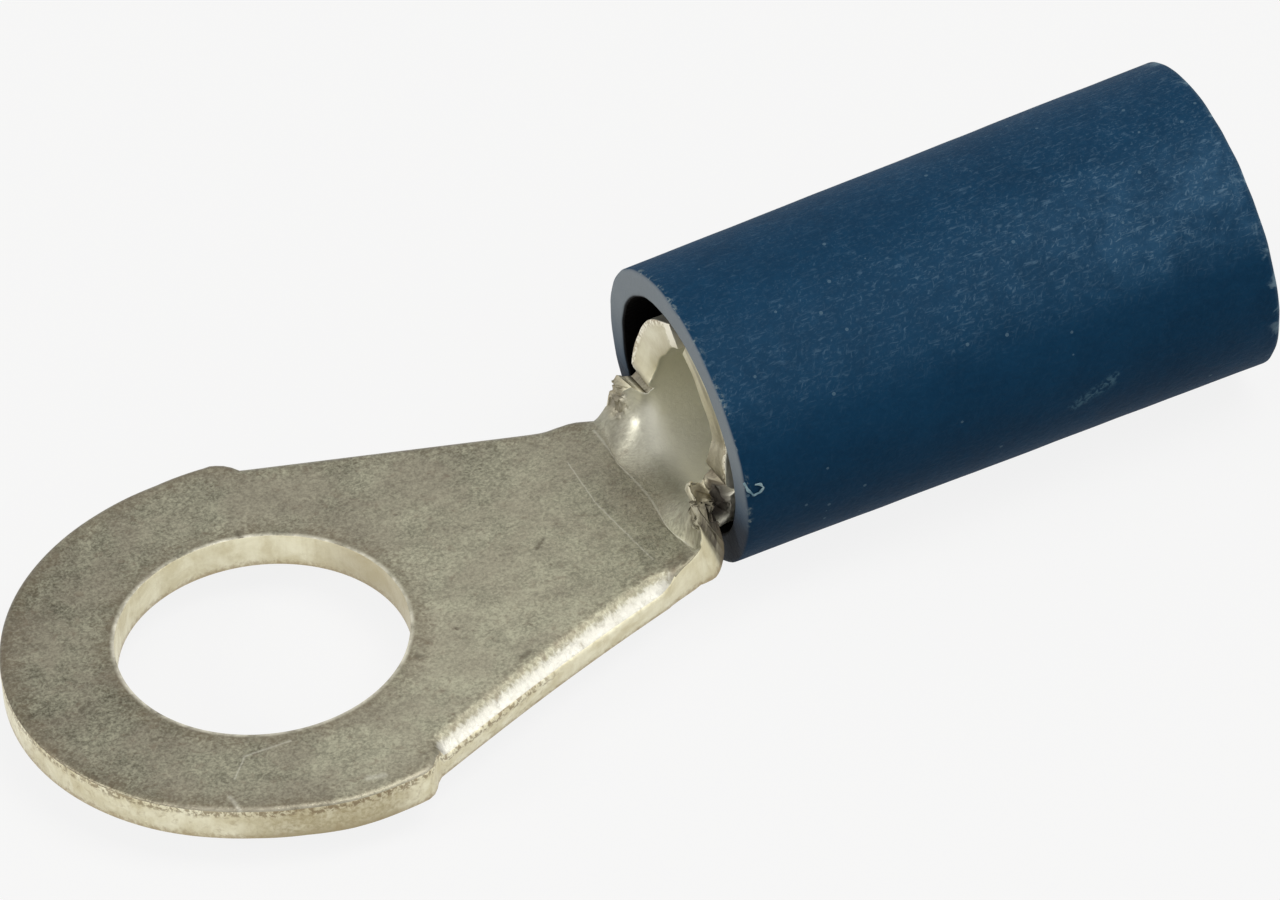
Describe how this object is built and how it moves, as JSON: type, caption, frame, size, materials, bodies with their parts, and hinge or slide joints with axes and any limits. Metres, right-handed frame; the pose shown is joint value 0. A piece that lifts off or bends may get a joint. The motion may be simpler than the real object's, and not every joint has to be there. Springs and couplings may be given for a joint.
{
  "type": "ring terminal",
  "caption": "Crimp ring terminal: flat tinned ring and tapered neck that roll up into an open wire barrel, inside a plain blue plastic sleeve.",
  "frame": {"origin": "centre of the stud hole, on the underside of the tongue", "axes": "+X along the terminal towards the wire entry, +Z out of the tongue's face under the nut"},
  "size_m": [0.0238, 0.0094, 0.0059],
  "materials": {
    "tinned_copper": "satin, matt tin plating over copper",
    "blue_vinyl": "matte soft vinyl"
  },
  "bodies": {
    "root": {"terminal": "tinned_copper", "insulating_sleeve": "blue_vinyl"}
  },
  "joints": []
}
